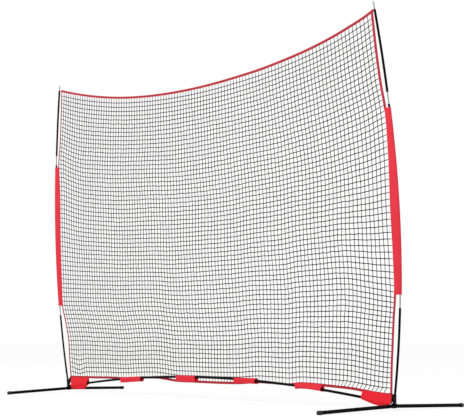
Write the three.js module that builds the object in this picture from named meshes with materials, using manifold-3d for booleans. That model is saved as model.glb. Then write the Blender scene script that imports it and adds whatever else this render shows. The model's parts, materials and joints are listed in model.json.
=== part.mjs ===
// A portable ball-stop net for pitching and hitting practice. Two upright posts bow outward over
// swivelling tube feet, a ground pole bowed upward keeps the feet apart, and a square-mesh net with
// bound edges is stretched between the posts by side sleeves, corner loops, pockets and straps.
//
// Units are millimetres. X runs along the net, Y from front to back, Z up. The origin is on the
// ground, midway between the two feet.

import * as THREE from 'three';
import { mergeGeometries, mergeVertices } from 'three/addons/utils/BufferGeometryUtils.js';
import Module from 'manifold-3d';

const wasm = await Module();
wasm.setup();

// ---- Driving dimensions -------------------------------------------------------------------------

// Clearances
const fit = 0.3;                 // between pieces that touch, plug together or slide
const overlap = 2;               // how far welded or sewn-on shapes run into each other

// Frame layout
const footHalfSpan = 1845;       // from the middle of the net to a foot's swivel
const leanDegrees = 3.26;        // the posts and the net lean forward by this much
const toeDegrees = 6.1;          // each foot is turned on its swivel, front end inward

// Feet
const legReach = 690;            // from the swivel to the outer end of an end cap
const legRadius = 12.5;
const legWall = 1.5;
const hubHeight = 32;            // height of the leg axis at the swivel
const hubHalfLength = 50;        // hub tube, from the swivel to the leg's inner end
const hubBossRadius = 18;
const hubBossAbove = 0.7;        // how far the boss stands above the hub tube
const hubBossBelow = 0.5;        // and below it
const spigotLength = 60;
const capWall = 2.2;
const capDepth = 28;             // how far a cap covers the end of its leg
const capFlat = 1.6;             // how much the tread cuts off the bottom of a cap

// Swivel pin and corner bracket
const pinRadius = 4;
const pinHeadRadius = 5.5;
const pinHeadHeight = 3;
const bracketPlate = 4;
const bracketRadius = 20;
const socketWall = 2.2;
const socketTop = 105;           // top of the post socket
const socketRim = 8;             // height of the rolled rim on the socket
const socketRimWall = 2;
const groundSocketLength = 60;
const groundSocketWall = 2.2;
const groundSetIn = 30;          // from the swivel to the outer end of the ground pole

// Posts, measured along their leaning plane
const bowLow = 50;               // the bow's lower end, where it stands over the swivel
const bowSag = 117;              // how far the middle of the bow stands out
const bowSkew = 0.12;            // how much fuller the lower half of the bow is than the upper half
const bowTopHalfSpan = 1848;     // from the middle of the net to the bow's upper end
const tubeRadius = 8;
const tubeWall = 1.2;
const rodRadius = 5;
const sectionLength = 686;       // each post comes apart into sections of this length
const rodInsert = 60;            // how far a rod plugs into the tube below
const tipLength = 50;            // bare rod above the last cover
const coverWall = 3.2;
const coverLowGap = 90;          // bare rod from a joint up to its cover
const coverHighGap = 60;         // bare rod from a cover up to the next joint
const topCoverLength = 592;      // the last cover reaches up to the top corner of the net
const ferruleWall = 2.7;
const ferruleLength = 50;
const ferruleAbove = 5;          // how far the ferrule reaches past its joint

// Ground pole
const groundEnd = 52;            // height of its ends
const groundCrown = 177;         // height of its middle
const groundRadius = 9.5;
const groundWall = 1.2;
const groundSections = 4;
const groundSpigotLength = 100;
const groundSpigotWall = 1.2;

// Net and its bound edges
const netFootSetIn = 28;         // from a foot's swivel to the bottom corner of the net
const netTopSetIn = 22;          // from the bow's upper end to the top corner of the net
const netSideSlack = 22;         // how much less than the posts the sides of the net bow out
const freeEdgeSag = 18;          // how far an edge draws in between a sleeve and a corner
const netLow = 138;
const netTopSag = 254;
const meshSide = 36;
const meshesPerCell = 5;         // one cell of this lattice stands for a square of this many meshes
const strandWidth = 6;
const netThickness = 3;
const bindingThickness = 4;
const topBindingWidth = 17;
const sideBindingWidth = 15;
const bottomBindingWidth = 15;

// Side sleeves, loops, pockets and straps
const sleeveLowGap = 89;         // bare rod from the steel tube up to the sleeve
const sleeveHighGap = 17;        // from the sleeve up to the joint of the top rod
const sleeveWall = 2;
const sleeveWebThickness = 4;
const bottomLoops = 4;
const loopPitch = 670;
const loopShift = 100;           // the row of loops sits off centre by this much
const loopLength = 270;
const loopHeight = 42;
const loopWall = 2;
const pocketLength = 265;
const pocketSeamGap = 2;         // from the net's binding down to the pocket's inner corner
const pocketTopDrop = 18;        // how much lower the pocket's outer corner is
const pocketInnerBottom = 66;
const pocketBottom = 24;
const pocketHeel = 120;          // length of the pocket's level bottom edge
const pocketSetIn = 34;          // from the swivel to the pocket
const pocketWall = 1.2;          // over the socket inside it
const strapLow = 68;
const strapHigh = 92;
const strapThickness = 2.2;
const topLoopThickness = 4;
const topLoopWidth = 5;

// Facets
const roundSides = 10;
const fineSides = 12;
const facetLength = 110;         // along a curved tube or edge
const edgeFacets = 3;            // along each outer cell of the net

// ---- Materials ----------------------------------------------------------------------------------

const finishes = {
  blackSteel: { color: '#16171a', roughness: 0.32, metalness: 0.55 },
  blackCover: { color: '#121214', roughness: 0.4, metalness: 0 },
  blackCap: { color: '#1c1d1f', roughness: 0.55, metalness: 0 },
  greyRod: { color: '#8f9396', roughness: 0.35, metalness: 0 },
  redFabric: { color: '#ee3347', roughness: 0.75, metalness: 0 },
  redBinding: { color: '#c62f43', roughness: 0.8, metalness: 0 },
  blackTwine: { color: '#1b1c1e', roughness: 0.85, metalness: 0 },
  blackWebbing: { color: '#141416', roughness: 0.8, metalness: 0 },
};

function piece(name, geometry, finish) {
  const mesh = new THREE.Mesh(geometry, new THREE.MeshStandardMaterial(finishes[finish]));
  mesh.name = name;
  return mesh;
}

// ---- Solids -------------------------------------------------------------------------------------

function toSolid(geometry) {
  const bare = geometry.clone();
  bare.deleteAttribute('normal');
  bare.deleteAttribute('uv');
  const merged = mergeVertices(bare, 1e-3);
  return new wasm.Manifold(new wasm.Mesh({
    numProp: 3,
    vertProperties: new Float32Array(merged.attributes.position.array),
    triVerts: new Uint32Array(merged.index.array),
  }));
}

function toGeometry(solid) {
  const mesh = solid.getMesh();
  const geometry = new THREE.BufferGeometry();
  geometry.setAttribute('position', new THREE.BufferAttribute(mesh.vertProperties, 3));
  geometry.setIndex(new THREE.BufferAttribute(mesh.triVerts, 1));
  geometry.computeVertexNormals();
  return geometry;
}

function joined(geometries, cuts = []) {
  let solid = toSolid(geometries[0]);
  for (const geometry of geometries.slice(1)) {
    solid = solid.add(toSolid(geometry));
  }
  for (const cut of cuts) {
    solid = solid.subtract(toSolid(cut));
  }
  return toGeometry(solid);
}

function ringShape(outer, inner) {
  const shape = new THREE.Shape();
  shape.absarc(0, 0, outer, 0, 2 * Math.PI);
  if (inner > 0) {
    const hole = new THREE.Path();
    hole.absarc(0, 0, inner, 0, 2 * Math.PI);
    shape.holes.push(hole);
  }
  return shape;
}

// A round tube or bar along a gentle curve.
function along(curve, outer, inner) {
  return new THREE.ExtrudeGeometry(ringShape(outer, inner), {
    extrudePath: curve,
    steps: Math.ceil(curve.getLength() / facetLength),
    curveSegments: roundSides / 2,
  });
}

// A straight round tube or bar.
function between(start, end, outer, inner) {
  return new THREE.ExtrudeGeometry(ringShape(outer, inner), {
    extrudePath: new THREE.LineCurve3(start, end),
    steps: 1,
    curveSegments: fineSides / 2,
  });
}

// A vertical round bar or tube standing at (x, y).
function upright(x, y, low, high, outer, inner) {
  return between(new THREE.Vector3(x, y, low), new THREE.Vector3(x, y, high), outer, inner);
}

// An outline drawn in the plane of the net, given its thickness from front to back.
function slab(points, thickness) {
  const shape = new THREE.Shape(points.map(([x, z]) => new THREE.Vector2(x, z)));
  const geometry = new THREE.ExtrudeGeometry(shape, { depth: thickness, bevelEnabled: false });
  geometry.rotateX(Math.PI / 2);
  geometry.translate(0, thickness / 2, 0);
  return geometry;
}

function mirrored(points, side) {
  return points.map(([x, z]) => [side * x, z]);
}

function steps(from, to, count) {
  return Array.from({ length: count + 1 }, (_, i) => from + ((to - from) * i) / count);
}

// ---- The lines that everything follows, in the leaning plane ------------------------------------

// The leaning plane passes through the swivels at the top of the bracket plates.
const lean = THREE.MathUtils.degToRad(leanDegrees);
const toe = THREE.MathUtils.degToRad(toeDegrees);
const hubBossTop = hubHeight + legRadius + hubBossAbove;
const hubBossBottom = hubHeight - legRadius - hubBossBelow;
const plateBottom = hubBossTop + fit;
const plateTop = plateBottom + bracketPlate;

// The net's top corners are held on the ends of the last covers, where the bow ends too.
const coverLength = sectionLength - coverLowGap - coverHighGap;
const netHigh = 3 * sectionLength + coverLowGap + topCoverLength;
const bowHigh = netHigh + topLoopThickness;
const bowHalfChord = (bowHigh - bowLow) / 2;
const bowSlant = (bowTopHalfSpan - footHalfSpan) / (bowHigh - bowLow);
const tipHeight = netHigh + tipLength;
const sleeveLow = sectionLength + sleeveLowGap;
const sleeveHigh = 3 * sectionLength - sleeveHighGap;

// Height of an arc above its chord's ends, at a distance from the middle of the chord.
function arcRise(distance, halfChord, sag) {
  const radius = (halfChord * halfChord + sag * sag) / (2 * sag);
  return Math.sqrt(radius * radius - distance * distance) - (radius - sag);
}

// The same for a post's bow, which is fuller below its middle than above.
function bowRise(distance, halfChord, sag) {
  return arcRise(distance, halfChord, sag) * (1 - (bowSkew * distance) / halfChord);
}

function postX(height) {
  const fromLow = height - bowLow;
  const chordX = footHalfSpan + bowSlant * fromLow;
  return chordX + bowRise(fromLow - bowHalfChord, bowHalfChord, bowSag);
}

// The slanting end of the post tube rests on the bracket plate by its lowest edge.
const bowEndSlope = bowSlant + (1 + bowSkew) * Math.tan(2 * Math.atan(bowSag / bowHalfChord));
const postLow = plateTop + fit + tubeRadius * Math.hypot(bowEndSlope, Math.tan(lean));

// The ground pole and the loops round it run in front of the net's bound edge.
const groundForward = groundRadius + fit + loopWall + fit + bindingThickness / 2;
const groundHalfSpan = footHalfSpan - groundSetIn;

function groundZ(x) {
  return groundEnd + arcRise(x, groundHalfSpan, groundCrown - groundEnd);
}

const netFootHalfWidth = footHalfSpan - netFootSetIn;
const netTopHalfWidth = bowTopHalfSpan - netTopSetIn;
const netHalfHeight = (netHigh - netLow) / 2;

function heldSideX(height) {
  const fromLow = height - netLow;
  const chordX = netFootHalfWidth
    + ((netTopHalfWidth - netFootHalfWidth) * fromLow) / (2 * netHalfHeight);
  return chordX + bowRise(fromLow - netHalfHeight, netHalfHeight, bowSag - netSideSlack);
}

function freeSideX(height, low, high) {
  const part = (height - low) / (high - low);
  const straight = heldSideX(low) + (heldSideX(high) - heldSideX(low)) * part;
  return straight - 4 * freeEdgeSag * part * (1 - part);
}

// The side edge of the net: held out by the sleeve, and drawn in above and below it.
function netSideX(height) {
  if (height > sleeveHigh) {
    return freeSideX(height, sleeveHigh, netHigh);
  }
  if (height < sleeveLow) {
    return freeSideX(height, netLow, sleeveLow);
  }
  return heldSideX(height);
}

function netTopZ(x) {
  return netHigh - netTopSag * (1 - (x / netTopHalfWidth) ** 2);
}

class PostLine extends THREE.Curve {
  constructor(side, low, high) {
    super();
    Object.assign(this, { side, low, high });
  }

  getPoint(t, target = new THREE.Vector3()) {
    const height = this.low + (this.high - this.low) * t;
    return target.set(this.side * postX(height), 0, height);
  }
}

class GroundLine extends THREE.Curve {
  constructor(from, to) {
    super();
    Object.assign(this, { from, to });
  }

  getPoint(t, target = new THREE.Vector3()) {
    const x = this.from + (this.to - this.from) * t;
    return target.set(x, -groundForward, groundZ(x));
  }
}

const frame = new THREE.Group();
const leaningFrame = new THREE.Group();
leaningFrame.position.y = plateTop * Math.tan(lean);
leaningFrame.rotation.x = lean;
leaningFrame.updateMatrix();
frame.add(leaningFrame);

// ---- Feet: hub, two legs and their caps, turned on the swivel ------------------------------------

const capRadius = legRadius + fit + capWall;
const capHeight = capRadius - capFlat;
const legDroop = Math.asin((hubHeight - capHeight) / legReach);
const legBore = legRadius - legWall;
const spigotRadius = legBore - fit;
const spigotBore = spigotRadius - legWall;
const legStart = hubHalfLength + fit;
const legEnd = legReach - capWall - fit;

// A point at a distance along a drooping leg; ahead is -1 for the front leg and 1 for the rear one.
function onLeg(ahead, distance) {
  return new THREE.Vector3(
    0,
    ahead * distance * Math.cos(legDroop),
    hubHeight - distance * Math.sin(legDroop),
  );
}

function footHub() {
  const shapes = [upright(0, 0, hubBossBottom, hubBossTop, hubBossRadius, 0)];
  const cuts = [upright(0, 0, hubBossBottom - overlap, hubBossTop + overlap, pinRadius + fit, 0)];
  for (const ahead of [-1, 1]) {
    shapes.push(between(onLeg(ahead, 0), onLeg(ahead, hubHalfLength), legRadius, 0));
    const spigotEnd = hubHalfLength + spigotLength;
    shapes.push(between(onLeg(ahead, hubHalfLength - overlap), onLeg(ahead, spigotEnd), spigotRadius, 0));
    const mouth = onLeg(ahead, spigotEnd + overlap);
    cuts.push(between(onLeg(ahead, hubBossRadius + overlap), mouth, spigotBore, 0));
  }
  return joined(shapes, cuts);
}

function endCap(ahead) {
  const cup = between(onLeg(ahead, legEnd - capDepth), onLeg(ahead, legReach), capRadius, 0);
  const bore = between(
    onLeg(ahead, legEnd - capDepth - overlap),
    onLeg(ahead, legEnd + fit),
    legRadius + fit,
    0,
  );
  const ground = new THREE.BoxGeometry(4 * capRadius, 2 * legReach + 4 * capRadius, capRadius);
  ground.translate(0, 0, -capRadius / 2);
  return joined([cup], [bore, ground]);
}

function foot(sideName, side) {
  const group = new THREE.Group();
  group.position.x = side * footHalfSpan;
  group.rotation.z = -side * toe;
  group.add(piece(`foot_hub_${sideName}`, footHub(), 'blackSteel'));
  for (const [aheadName, ahead] of [['front', -1], ['rear', 1]]) {
    const leg = between(onLeg(ahead, legStart), onLeg(ahead, legEnd), legRadius, legBore);
    group.add(piece(`leg_${aheadName}_${sideName}`, leg, 'blackSteel'));
    group.add(piece(`end_cap_${aheadName}_${sideName}`, endCap(ahead), 'blackCap'));
  }
  return group;
}

// ---- Swivel pin and corner bracket: socket for the post, socket for the ground pole ---------------

const socketBore = tubeRadius + fit;
const socketRadius = socketBore + socketWall;
const groundSocketBore = groundRadius + fit;
const groundSocketRadius = groundSocketBore + groundSocketWall;

function swivelPin() {
  const headTop = plateTop + fit + pinHeadHeight;
  const tailTop = hubBossBottom - fit;
  const profile = [
    [0, tailTop - pinHeadHeight],
    [pinHeadRadius, tailTop - pinHeadHeight],
    [pinHeadRadius, tailTop],
    [pinRadius, tailTop],
    [pinRadius, plateTop + fit],
    [pinHeadRadius, plateTop + fit],
    [pinHeadRadius, headTop],
    [0, headTop],
  ];
  const geometry = new THREE.LatheGeometry(profile.map(([r, z]) => new THREE.Vector2(r, z)), fineSides);
  geometry.rotateX(Math.PI / 2);
  return geometry;
}

function cornerBracket(side) {
  const swivelX = side * footHalfSpan;
  const socket = along(new PostLine(side, hubBossTop, socketTop), socketRadius, 0);
  const rimRadius = socketRadius + socketRimWall;
  const rim = along(new PostLine(side, socketTop - socketRim, socketTop), rimRadius, 0);
  const bore = along(new PostLine(side, hubBossTop, socketTop + overlap), socketBore, 0);
  const inner = groundHalfSpan - groundSocketLength;
  const groundSocket = along(
    new GroundLine(side * (groundHalfSpan + overlap), side * inner),
    groundSocketRadius,
    0,
  );
  const groundBore = along(
    new GroundLine(side * groundHalfSpan, side * (inner - overlap)),
    groundSocketBore,
    0,
  );
  for (const geometry of [socket, rim, bore, groundSocket, groundBore]) {
    geometry.applyMatrix4(leaningFrame.matrix);
  }
  const plate = upright(swivelX, 0, plateBottom, plateTop, bracketRadius, 0);
  const below = upright(swivelX, 0, 0, plateBottom, 2 * bracketRadius, 0);
  const pinHole = upright(swivelX, 0, plateBottom - overlap, plateTop + overlap, pinRadius + fit, 0);
  const armLength = groundSetIn + overlap;
  const arm = new THREE.BoxGeometry(armLength, 2 * groundForward, bracketPlate);
  arm.translate(swivelX - side * armLength / 2, -groundForward / 2, (plateBottom + plateTop) / 2);
  const seat = upright(swivelX, 0, plateTop, plateTop + pinHeadHeight + 2 * fit, pinHeadRadius + fit, 0);
  const shell = joined([socket, rim], [bore, below]);
  return joined([shell, plate, arm, groundSocket], [groundBore, pinHole, seat]);
}

// ---- Posts: steel tube, then three fibreglass rods with covers, joined by ferrules ----------------

const rodBore = rodRadius + fit;
const tubeBore = tubeRadius - tubeWall;
const coverRadius = rodBore + coverWall;

function post(sideName, side) {
  const group = new THREE.Group();
  const line = (low, high) => new PostLine(side, low, high);
  const tube = along(line(postLow, sectionLength), tubeRadius, tubeBore);
  group.add(piece(`post_tube_${sideName}`, tube, 'blackSteel'));
  const bush = along(line(sectionLength - rodInsert, sectionLength - fit), tubeBore - fit, rodBore);
  group.add(piece(`rod_bush_${sideName}`, bush, 'blackSteel'));

  const rods = [
    ['lower', sectionLength - rodInsert, 2 * sectionLength],
    ['middle', 2 * sectionLength + fit, 3 * sectionLength],
    ['top', 3 * sectionLength + fit, tipHeight],
  ];
  rods.forEach(([rodName, low, high], index) => {
    group.add(piece(`rod_${rodName}_${sideName}`, along(line(low, high), rodRadius, 0), 'greyRod'));
    const coverLow = (index + 1) * sectionLength + coverLowGap;
    const coverHigh = coverLow + (rodName === 'top' ? topCoverLength : coverLength);
    const cover = along(line(coverLow, coverHigh), coverRadius, rodBore);
    group.add(piece(`rod_cover_${rodName}_${sideName}`, cover, 'blackCover'));
  });

  for (const [ferruleName, joint] of [['middle', 2 * sectionLength], ['top', 3 * sectionLength]]) {
    const top = joint + ferruleAbove;
    const ferrule = along(line(top - ferruleLength, top), rodBore + ferruleWall, rodBore);
    group.add(piece(`ferrule_${ferruleName}_${sideName}`, ferrule, 'blackSteel'));
  }
  return group;
}

// ---- Ground pole: tube sections on inner spigots --------------------------------------------------

function groundPole() {
  const group = new THREE.Group();
  const ends = steps(-groundHalfSpan + fit, groundHalfSpan - fit, groundSections);
  for (let i = 0; i < groundSections; i += 1) {
    const line = new GroundLine(ends[i] + fit / 2, ends[i + 1] - fit / 2);
    const section = along(line, groundRadius, groundRadius - groundWall);
    group.add(piece(`ground_pole_${i + 1}`, section, 'blackSteel'));
  }
  for (let i = 1; i < groundSections; i += 1) {
    const half = groundSpigotLength / 2;
    const outer = groundRadius - groundWall - fit;
    const line = new GroundLine(ends[i] - half, ends[i] + half);
    const spigot = along(line, outer, outer - groundSpigotWall);
    group.add(piece(`ground_spigot_${i}`, spigot, 'blackSteel'));
  }
  return group;
}

// ---- Net: a lattice inside its bindings -----------------------------------------------------------

const latticeLow = netLow + bottomBindingWidth / 2 + fit;

function latticeSideX(height) {
  return netSideX(height) - sideBindingWidth - fit;
}

function latticeTopZ(x) {
  return netTopZ(x) - topBindingWidth - fit;
}

const latticeCornerX = latticeSideX(latticeTopZ(latticeSideX(netHigh)));
const latticeCornerZ = latticeTopZ(latticeCornerX);

// A point of the lattice, from 0 to 1 across and from 0 to 1 upward.
function latticePoint(across, up) {
  const outward = 2 * across - 1;
  const top = latticeTopZ(outward * latticeCornerX);
  const sideHeight = latticeLow + (latticeCornerZ - latticeLow) * up;
  return [outward * latticeSideX(sideHeight), latticeLow + (top - latticeLow) * up];
}

function net() {
  const cellSide = meshSide * meshesPerCell;
  const columns = Math.round((2 * latticeSideX(netLow + netHalfHeight)) / cellSide);
  const rows = Math.round((latticeTopZ(0) - latticeLow) / cellSide);
  const half = strandWidth / 2;
  const across = steps(0, 1, columns);
  const up = steps(0, 1, rows);
  const edgeAcross = steps(0, 1, columns * edgeFacets);
  const edgeUp = steps(0, 1, rows * edgeFacets);
  const outline = [
    ...edgeUp.map((v) => latticePoint(1, v)),
    ...edgeAcross.slice(0, -1).reverse().map((u) => latticePoint(u, 1)),
    ...edgeUp.slice(0, -1).reverse().map((v) => latticePoint(0, v)),
  ];
  const holes = [];
  for (let i = 0; i + 1 < across.length; i += 1) {
    for (let j = 0; j + 1 < up.length; j += 1) {
      const [left, right, low, high] = [across[i], across[i + 1], up[j], up[j + 1]];
      const corners = [
        [latticePoint(left, low), 1, 1],
        [latticePoint(left, high), 1, -1],
        [latticePoint(right, high), -1, -1],
        [latticePoint(right, low), -1, 1],
      ];
      const hole = corners.map(([[x, z], inX, inZ]) => [x + inX * half, z + inZ * half]);
      holes.push(slab(hole, netThickness + 2 * overlap));
    }
  }
  return joined([slab(outline, netThickness)], [mergeGeometries(holes)]);
}

function band(xs, upperZ, lowerZ) {
  const upper = xs.map((x) => [x, upperZ(x)]);
  const lower = xs.map((x) => [x, lowerZ(x)]).reverse();
  return slab([...upper, ...lower], bindingThickness);
}

function topBinding() {
  const count = Math.ceil((2 * netTopHalfWidth) / facetLength);
  const xs = steps(-netTopHalfWidth, netTopHalfWidth, count);
  return band(xs, netTopZ, (x) => netTopZ(x) - topBindingWidth);
}

function bottomBinding() {
  const half = bottomBindingWidth / 2;
  return band([-netFootHalfWidth, netFootHalfWidth], () => netLow + half, () => netLow - half);
}

function sideBinding(side, low, high) {
  const heights = steps(low, high, Math.ceil((high - low) / facetLength));
  const outer = heights.map((z) => [netSideX(z), z]);
  const inner = heights.map((z) => [netSideX(z) - sideBindingWidth, z]).reverse();
  return slab(mirrored([...outer, ...inner], side), bindingThickness);
}

// ---- Side sleeves: a fabric tube round the post, with a web to the edge of the net -----------------

const sleeveBore = coverRadius + fit;
const sleeveRadius = sleeveBore + sleeveWall;

function sideSleeve(side) {
  const line = new PostLine(side, sleeveLow, sleeveHigh);
  const past = new PostLine(side, sleeveLow - overlap, sleeveHigh + overlap);
  const heights = steps(sleeveLow, sleeveHigh, Math.ceil((sleeveHigh - sleeveLow) / facetLength));
  const outer = heights.map((z) => [postX(z), z]);
  const inner = heights.map((z) => [netSideX(z) - sideBindingWidth, z]).reverse();
  const web = slab(mirrored([...outer, ...inner], side), sleeveWebThickness);
  return joined([along(line, sleeveRadius, 0), web], [along(past, sleeveBore, 0)]);
}

// ---- Bottom loops, corner pockets, corner straps and top loops ------------------------------------

// A flattened ring outline: two half circles joined by straight sides.
function traceStadium(path, radius, straight) {
  path.absarc(0, straight / 2, radius, 0, Math.PI);
  path.absarc(0, -straight / 2, radius, Math.PI, 2 * Math.PI);
  return path;
}

function bottomLoop(middle) {
  const innerRadius = groundRadius + fit;
  const outerRadius = innerRadius + loopWall;
  const straight = loopHeight - 2 * outerRadius;
  const shape = traceStadium(new THREE.Shape(), outerRadius, straight);
  shape.holes.push(traceStadium(new THREE.Path(), innerRadius, straight));
  const geometry = new THREE.ExtrudeGeometry(shape, {
    depth: loopLength,
    bevelEnabled: false,
    curveSegments: 6,
  });
  geometry.translate(0, 0, -loopLength / 2);
  geometry.rotateX(Math.PI / 2);
  geometry.rotateZ(Math.PI / 2);
  const start = new THREE.Vector2(middle - loopLength / 2, groundZ(middle - loopLength / 2));
  const end = new THREE.Vector2(middle + loopLength / 2, groundZ(middle + loopLength / 2));
  const run = end.clone().sub(start);
  geometry.rotateY(-Math.atan2(run.y, run.x));
  geometry.translate(middle, -groundForward, groundZ(middle) - straight / 2);
  return geometry;
}

const pocketOuter = footHalfSpan - pocketSetIn;
const pocketInnerTop = netLow - bottomBindingWidth / 2 - pocketSeamGap;
const pocketOuterTop = pocketInnerTop - pocketTopDrop;

function cornerPocket(side) {
  const inner = pocketOuter - pocketLength;
  const outline = [
    [pocketOuter, pocketBottom],
    [pocketOuter, pocketOuterTop],
    [inner, pocketInnerTop],
    [inner, pocketInnerBottom],
    [pocketOuter - pocketHeel, pocketBottom],
  ];
  const bag = slab(mirrored(outline, side), 2 * (groundSocketRadius + fit + pocketWall));
  bag.translate(0, -groundForward, 0);
  const pole = new GroundLine(side * (pocketOuter + overlap), side * (inner - overlap));
  return joined([bag], [along(pole, groundSocketRadius + fit, 0)]);
}

function cornerStrap(side) {
  const ring = along(new PostLine(side, strapLow, strapHigh), socketRadius + fit + strapThickness, 0);
  const hole = new PostLine(side, strapLow - overlap, strapHigh + overlap);
  const bottomEdge = netLow - bottomBindingWidth / 2 - fit;
  const tabOuter = postX(strapLow) - socketRadius - fit;
  const tab = [
    [tabOuter, strapLow],
    [tabOuter, strapHigh],
    [pocketOuter + overlap, bottomEdge],
    [pocketOuter - 2 * sideBindingWidth, bottomEdge],
    [pocketOuter - 2 * sideBindingWidth, pocketInnerTop],
    [pocketOuter + fit, pocketOuterTop + overlap],
    [pocketOuter + fit, strapLow],
  ];
  const strap = slab(mirrored(tab, side), strapThickness);
  return joined([ring, strap], [along(hole, socketRadius + fit, 0)]);
}

function topLoop(side) {
  const low = netHigh + fit;
  const high = low + topLoopThickness;
  const ring = along(new PostLine(side, low, high), rodBore + topLoopWidth, 0);
  const hole = along(new PostLine(side, low - overlap, high + overlap), rodBore, 0);
  const tab = [
    [netTopHalfWidth + fit, netHigh - topBindingWidth],
    [netTopHalfWidth + fit, netHigh],
    [postX(low) - rodRadius, high],
    [postX(low) - rodRadius, low],
    [postX(low) - coverRadius - fit, low],
    [postX(low) - coverRadius - fit, netHigh - topBindingWidth],
  ];
  return joined([ring, slab(mirrored(tab, side), topLoopThickness)], [hole]);
}

// ---- Assembly -------------------------------------------------------------------------------------

for (const [sideName, side] of [['left', -1], ['right', 1]]) {
  frame.add(foot(sideName, side));
  const pin = piece(`swivel_pin_${sideName}`, swivelPin(), 'blackSteel');
  pin.position.x = side * footHalfSpan;
  frame.add(pin);
  frame.add(piece(`corner_bracket_${sideName}`, cornerBracket(side), 'blackSteel'));
  leaningFrame.add(post(sideName, side));
  leaningFrame.add(piece(`side_sleeve_${sideName}`, sideSleeve(side), 'redFabric'));
  leaningFrame.add(piece(`corner_pocket_${sideName}`, cornerPocket(side), 'redFabric'));
  leaningFrame.add(piece(`corner_strap_${sideName}`, cornerStrap(side), 'blackWebbing'));
  leaningFrame.add(piece(`top_loop_${sideName}`, topLoop(side), 'redBinding'));
  const lowEnd = netLow + bottomBindingWidth / 2 + fit;
  const highEnd = netTopZ(netTopHalfWidth - sideBindingWidth) - topBindingWidth - fit;
  const lowerBinding = sideBinding(side, lowEnd, sleeveLow - fit);
  leaningFrame.add(piece(`side_binding_lower_${sideName}`, lowerBinding, 'redBinding'));
  const upperBinding = sideBinding(side, sleeveHigh + fit, highEnd);
  leaningFrame.add(piece(`side_binding_upper_${sideName}`, upperBinding, 'redBinding'));
}

leaningFrame.add(groundPole());
leaningFrame.add(piece('net', net(), 'blackTwine'));
leaningFrame.add(piece('top_binding', topBinding(), 'redBinding'));
leaningFrame.add(piece('bottom_binding', bottomBinding(), 'redBinding'));
for (let i = 0; i < bottomLoops; i += 1) {
  const middle = loopShift + loopPitch * (i - (bottomLoops - 1) / 2);
  leaningFrame.add(piece(`bottom_loop_${i + 1}`, bottomLoop(middle), 'redFabric'));
}

export default frame;
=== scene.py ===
import json
import math

import bmesh
import bpy
import numpy as np
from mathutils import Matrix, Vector
from mathutils.geometry import convex_hull_2d


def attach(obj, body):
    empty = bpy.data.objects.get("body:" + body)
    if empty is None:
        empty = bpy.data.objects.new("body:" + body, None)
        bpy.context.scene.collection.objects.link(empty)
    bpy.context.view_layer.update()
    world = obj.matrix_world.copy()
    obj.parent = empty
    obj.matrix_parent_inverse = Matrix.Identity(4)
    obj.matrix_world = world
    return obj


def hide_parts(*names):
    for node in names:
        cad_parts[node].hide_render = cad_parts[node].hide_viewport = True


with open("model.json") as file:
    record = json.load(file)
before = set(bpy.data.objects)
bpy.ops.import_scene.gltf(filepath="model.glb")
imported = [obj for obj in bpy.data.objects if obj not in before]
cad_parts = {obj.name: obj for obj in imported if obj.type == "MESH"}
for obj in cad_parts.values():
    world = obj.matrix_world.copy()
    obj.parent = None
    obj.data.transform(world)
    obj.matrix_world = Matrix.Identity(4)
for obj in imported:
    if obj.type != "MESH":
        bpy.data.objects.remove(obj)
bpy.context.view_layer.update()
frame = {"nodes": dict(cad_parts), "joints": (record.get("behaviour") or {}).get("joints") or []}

# ---- The view ----
# The camera stands low at the front right of the net and looks slightly up through a long lens,
# so that the right post is near and tall and the left one is far.

camera_place = Vector((6.6493, -6.1383, 0.4977))
camera_turn = 0.8039
camera_pitch = 0.1122
camera_lens = 88.23

camera_data = bpy.data.cameras.new("camera")
camera_data.sensor_fit = "HORIZONTAL"
camera_data.sensor_width = 36.0
camera_data.lens = camera_lens
camera_data.clip_end = 200.0
camera = bpy.data.objects.new("camera", camera_data)
camera.location = camera_place
camera.rotation_euler = (math.pi / 2 + camera_pitch, 0.0, camera_turn)
bpy.context.scene.collection.objects.link(camera)
bpy.context.scene.camera = camera
bpy.context.scene.view_settings.view_transform = "Standard"

# ---- The floor, the backdrop and the lamps ----
# A white sweep: the floor is a wide painted board, and the world behind it is white to the eye,
# to gloss and to glass. Two big soft boxes and a pale sky light the object at a plain level.

white = (1.0, 1.0, 1.0, 1.0)
sky_light = 0.62
board_colour = (0.86, 0.86, 0.86, 1.0)
board_glow, board_glow_share = 1.27, 0.6
floor_half = 60.0


def linear(red, green, blue):
    """A display colour of 0 to 255 a channel, as the light that it stands for."""
    def channel(level):
        level = level / 255
        return level / 12.92 if level <= 0.04045 else ((level + 0.055) / 1.055) ** 2.4

    return (channel(red), channel(green), channel(blue), 1.0)


class Value:
    """A shader socket that can stand in sums: each operator adds its Math node."""

    def __init__(self, paint, socket):
        self.paint = paint
        self.socket = socket

    def maths(self, operation, other):
        return self.paint.node("Math", {"operation": operation}, {0: self, 1: other})["Value"]

    def __add__(self, other):
        return self.maths("ADD", other)

    def __mul__(self, other):
        return self.maths("MULTIPLY", other)

    __radd__ = __add__
    __rmul__ = __mul__


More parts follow.
